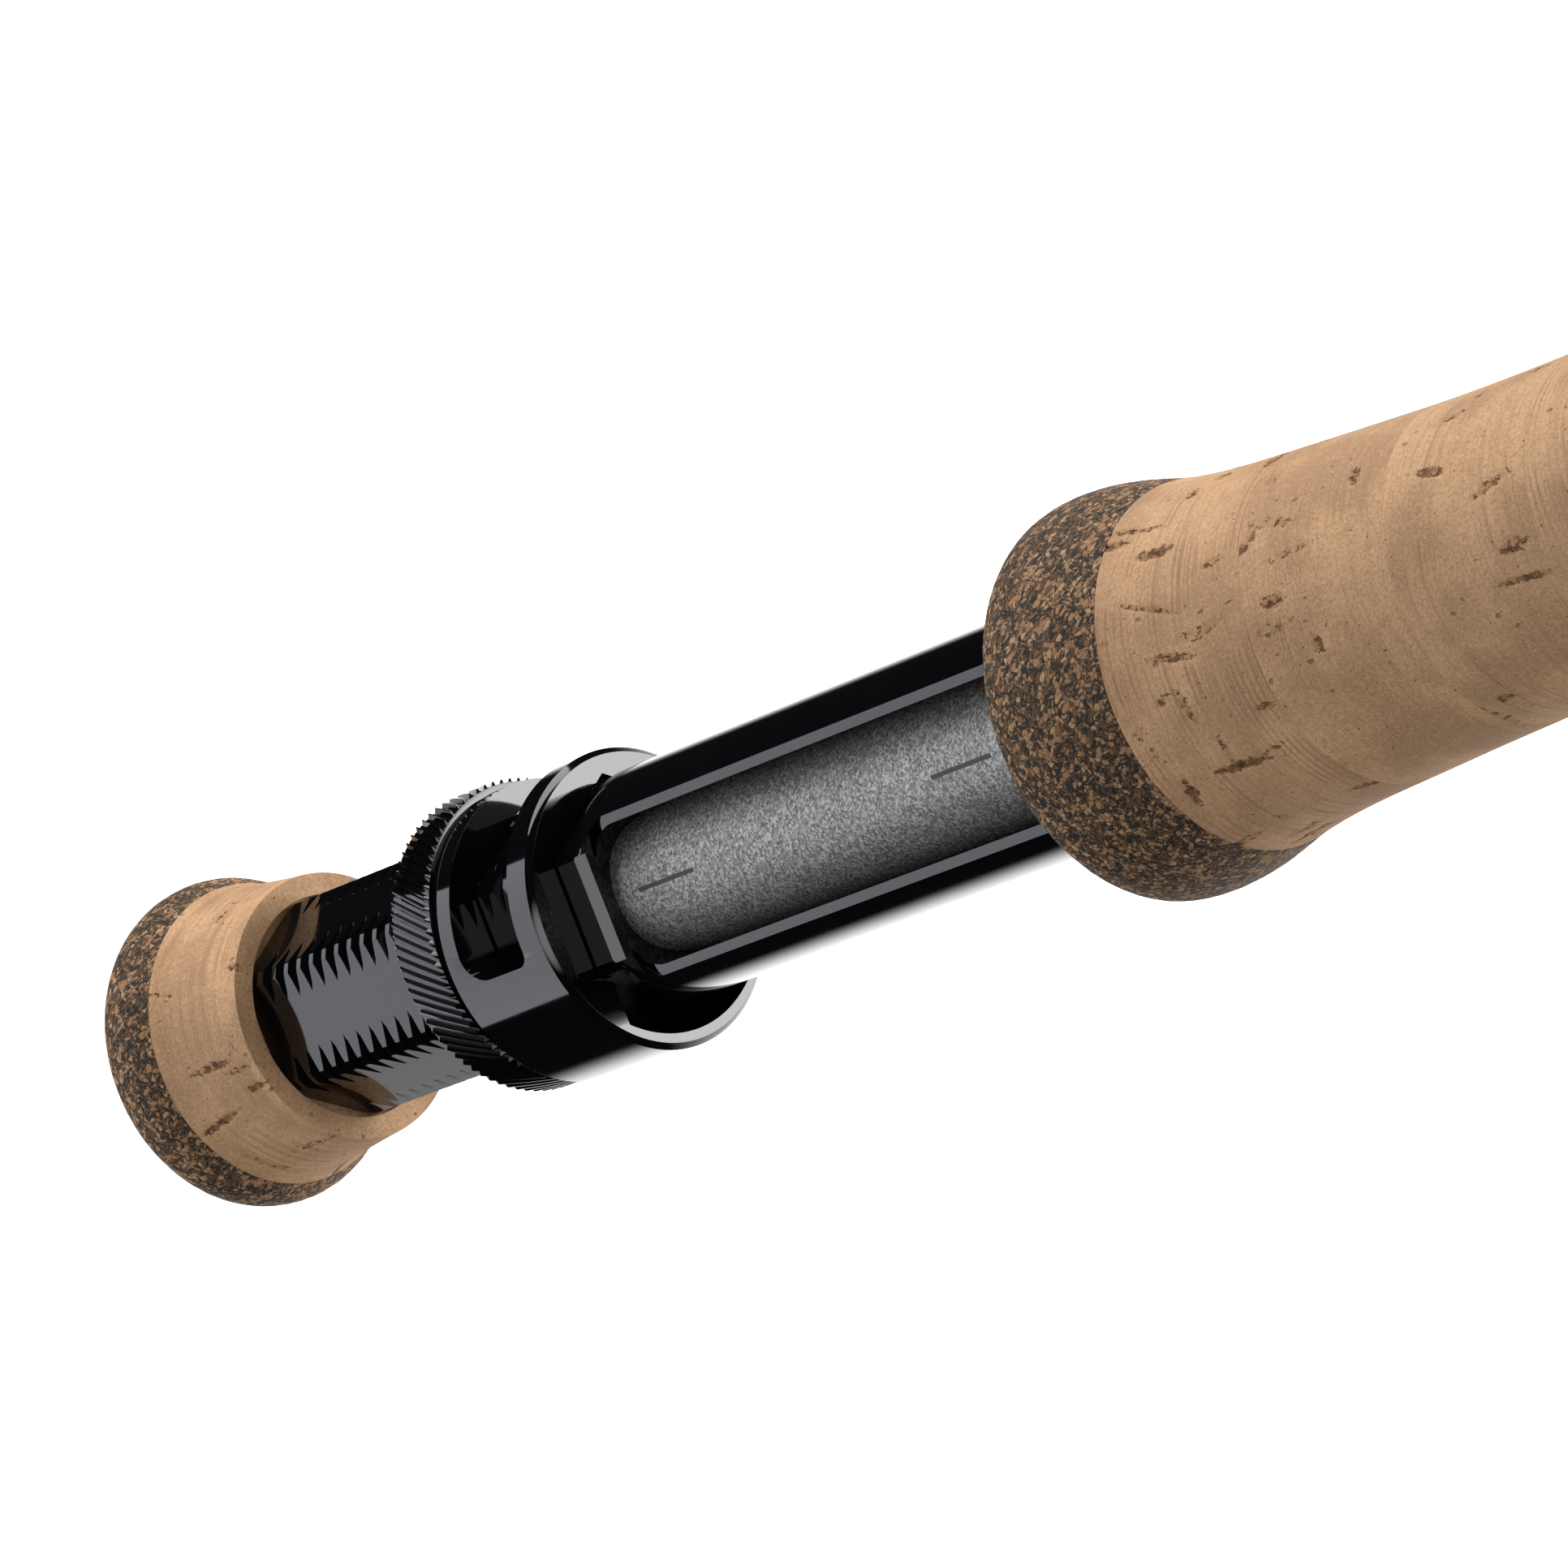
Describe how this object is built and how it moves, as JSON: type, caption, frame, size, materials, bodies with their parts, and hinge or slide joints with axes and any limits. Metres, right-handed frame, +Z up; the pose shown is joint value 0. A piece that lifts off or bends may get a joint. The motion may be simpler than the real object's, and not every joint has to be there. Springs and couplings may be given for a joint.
{
  "type": "fly rod handle section",
  "caption": "Fly rod handle section: cork grip, fighting butt, windowed reel seat with a sliding hood moved by a knurled lock nut, and a tapered blank ending in a spigot ferrule.",
  "frame": {"origin": "centre of the butt's flat end, which is the bottom centre of the bounding box", "axes": "+Z up the rod's axis from the butt towards the tip; the reel's foot lies along the seat on the -Y side; the seat's two windows face -X and +X"},
  "size_m": [0.0296, 0.0296, 0.4219],
  "materials": {
    "black_anodised": "gloss black anodised",
    "blasted_grey": "bead-blasted grey",
    "bare_aluminium": "turned",
    "cork": "sanded natural cork",
    "burl_cork": "rubberised cork granules",
    "black_nylon": "moulded",
    "spring_steel": "bright wire",
    "carbon_blank": "clear-coated carbon fibre",
    "carbon_spigot": "ground carbon fibre",
    "arbor_tape": "glued masking tape",
    "thread_wrap": "thread under clear epoxy"
  },
  "bodies": {
    "rod": {"butt_burl": "burl_cork", "grip_burl_rear": "burl_cork", "grip_burl_front": "burl_cork", "butt_cork": "cork", "cork_ring_01": "cork", "cork_ring_02": "cork", "cork_ring_03": "cork", "cork_ring_04": "cork", "cork_ring_05": "cork", "cork_ring_06": "cork", "cork_ring_07": "cork", "cork_ring_08": "cork", "cork_ring_09": "cork", "cork_ring_10": "cork", "cork_ring_11": "cork", "cork_ring_12": "cork", "butt_stud": "bare_aluminium", "seat_barrel": "black_anodised", "fixed_hood": "black_anodised", "winding_check": "black_anodised", "seat_insert": "blasted_grey", "hook_keeper": "spring_steel", "blank": "carbon_blank", "ferrule_spigot": "carbon_spigot", "blank_arbor_1": "arbor_tape", "blank_arbor_2": "arbor_tape", "blank_arbor_3": "arbor_tape", "ferrule_wrap": "thread_wrap", "keeper_wrap_rear": "thread_wrap", "keeper_wrap_front": "thread_wrap"},
    "hood": {"sliding_hood": "black_anodised", "thrust_washer": "black_nylon", "nut_retainer": "spring_steel"},
    "nut": {"lock_nut": "black_anodised"}
  },
  "joints": [
    {"name": "hood_slide", "type": "slide", "parent": "rod", "child": "hood", "axis": [0, 0, 1], "range_m": [-0.016, 0.0012]},
    {"name": "nut_turn", "type": "hinge", "parent": "hood", "child": "nut", "pos_m": [0, 0, 0.03895], "axis": [0, 0, 1], "range_deg": [-3600, 270]}
  ],
  "couplings": [
    {"joint": "hood_slide", "follows": "nut_turn", "m_per_rad": 0.00025464}
  ]
}
